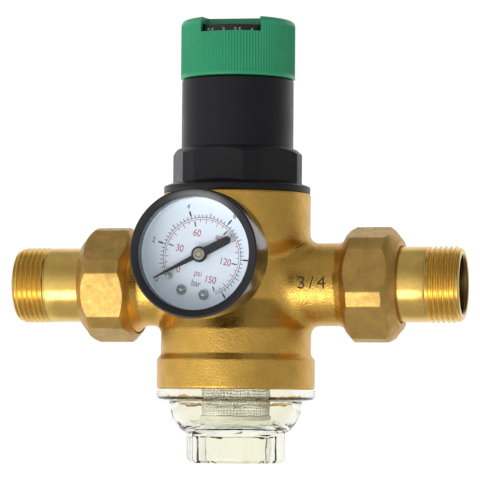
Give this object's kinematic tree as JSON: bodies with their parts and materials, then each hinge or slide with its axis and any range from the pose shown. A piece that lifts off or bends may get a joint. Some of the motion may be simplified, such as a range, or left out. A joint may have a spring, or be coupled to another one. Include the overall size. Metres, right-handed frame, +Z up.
{
  "type": "water pressure regulator",
  "caption": "Spring-loaded water pressure reducing valve with union tailpieces, a setting cap, a dial gauge and a clear filter bowl.",
  "frame": {"origin": "centre of the inlet tailpiece's end face, on the pipe axis", "axes": "+X along the flow from inlet to outlet, +Z up along the body's axis towards the setting cap, the gauge faces -Y"},
  "size_m": [0.1582, 0.096, 0.1537],
  "materials": {
    "body_brass": "sand-textured casting",
    "nut_brass": "rough forging, machined flats",
    "tail_brass": "turned and polished",
    "bonnet_plastic": "moulded, satin",
    "cap_plastic": "moulded, satin, ribbed",
    "black_scale": "moulded, matt",
    "stainless": "turned",
    "spring_steel": "drawn wire",
    "movement_brass": "stamped",
    "rubber": "moulded",
    "fibre": "pressed fibre",
    "insert_plastic": "moulded",
    "filter_steel": "woven mesh",
    "bowl_plastic": "clear moulding",
    "gauge_black": "gloss enamel",
    "gauge_window": "clear",
    "dial_white": "matt print",
    "pointer_black": "satin enamel"
  },
  "bodies": {
    "valve": {"valve_body": "body_brass", "spring_bonnet": "bonnet_plastic", "slip_ring": "insert_plastic", "diaphragm": "rubber", "valve_insert": "insert_plastic", "valve_seat": "stainless", "insert_orings": "rubber", "range_spring": "spring_steel", "scale_ring": "black_scale", "inlet_tailpiece": "tail_brass", "outlet_tailpiece": "tail_brass", "inlet_gasket": "rubber", "outlet_gasket": "rubber", "rear_port_plug": "nut_brass", "rear_plug_seal": "rubber", "gauge_seal": "fibre", "gauge_socket": "tail_brass", "gauge_case": "gauge_black", "gauge_bezel": "gauge_black", "gauge_lens": "gauge_window", "gauge_dial": "dial_white", "dial_screws": "stainless", "stop_pin": "stainless", "movement_back_plate": "movement_brass", "movement_front_plate": "movement_brass", "movement_pillars": "movement_brass", "bourdon_tube": "movement_brass", "hair_spring": "spring_steel"},
    "cap": {"adjusting_cap": "cap_plastic", "cap_screw": "stainless", "adjusting_spindle": "movement_brass", "spindle_circlip": "spring_steel", "thrust_washer": "insert_plastic"},
    "plate": {"spring_plate": "stainless"},
    "stem": {"valve_stem": "stainless", "stem_top_nut": "stainless", "stem_bottom_nut": "stainless", "valve_disc": "body_brass", "disc_seal": "rubber", "diaphragm_plate": "stainless", "support_washer": "stainless"},
    "filter": {"bowl_oring": "rubber", "filter_mesh": "filter_steel", "filter_top_ring": "insert_plastic", "filter_end_cap": "insert_plastic"},
    "bowl": {"filter_bowl": "bowl_plastic"},
    "inlet_nut": {"inlet_union_nut": "nut_brass"},
    "outlet_nut": {"outlet_union_nut": "nut_brass"},
    "pointer": {"gauge_pointer": "pointer_black", "pointer_bush": "movement_brass", "pointer_pinion": "movement_brass"},
    "sector": {"sector_gear": "movement_brass"},
    "link": {"tip_link": "movement_brass"}
  },
  "joints": [
    {"name": "cap_turn", "type": "hinge", "parent": "valve", "child": "cap", "pos_m": [0.0783, 0, 0.08], "axis": [0, 0, 1], "range_deg": [-150, 150]},
    {"name": "spring_plate_slide", "type": "slide", "parent": "valve", "child": "plate", "axis": [0, 0, 1], "range_m": [-0.0042, 0.0042], "deforming": ["range_spring"]},
    {"name": "stem_slide", "type": "slide", "parent": "valve", "child": "stem", "axis": [0, 0, 1], "range_m": [0, 0.002], "deforming": ["diaphragm", "range_spring"]},
    {"name": "pointer_turn", "type": "hinge", "parent": "valve", "child": "pointer", "pos_m": [0.0783, -0.05, 0.008], "axis": [0, 1, 0], "range_deg": [0, 264], "deforming": ["hair_spring", "bourdon_tube"]},
    {"name": "sector_turn", "type": "hinge", "parent": "valve", "child": "sector", "pos_m": [0.06778, -0.048, 0.00417], "axis": [0, 1, 0], "range_deg": [-45, 0.5]},
    {"name": "link_turn", "type": "hinge", "parent": "sector", "child": "link", "pos_m": [0.0686, -0.047, 0.00621], "axis": [0, 1, 0], "range_deg": [-0.5, 45]},
    {"name": "bowl_unscrew", "type": "hinge", "parent": "filter", "child": "bowl", "pos_m": [0.0783, 0, -0.04], "axis": [0, 0, -1], "range_deg": [0, 1260]},
    {"name": "bowl_drop", "type": "slide", "parent": "valve", "child": "filter", "axis": [0, 0, -1], "range_m": [0, 0.0072]},
    {"name": "inlet_nut_turn", "type": "hinge", "parent": "valve", "child": "inlet_nut", "pos_m": [0.031, 0, 0], "axis": [1, 0, 0], "continuous": true},
    {"name": "outlet_nut_turn", "type": "hinge", "parent": "valve", "child": "outlet_nut", "pos_m": [0.127, 0, 0], "axis": [1, 0, 0], "continuous": true}
  ],
  "couplings": [
    {"joint": "spring_plate_slide", "follows": "cap_turn", "m_per_rad": 0.0015915},
    {"joint": "sector_turn", "follows": "pointer_turn", "ratio": -0.16667},
    {"joint": "link_turn", "follows": "pointer_turn", "ratio": 0.16667},
    {"joint": "bowl_drop", "follows": "bowl_unscrew", "m_per_rad": 0.00031831}
  ]
}
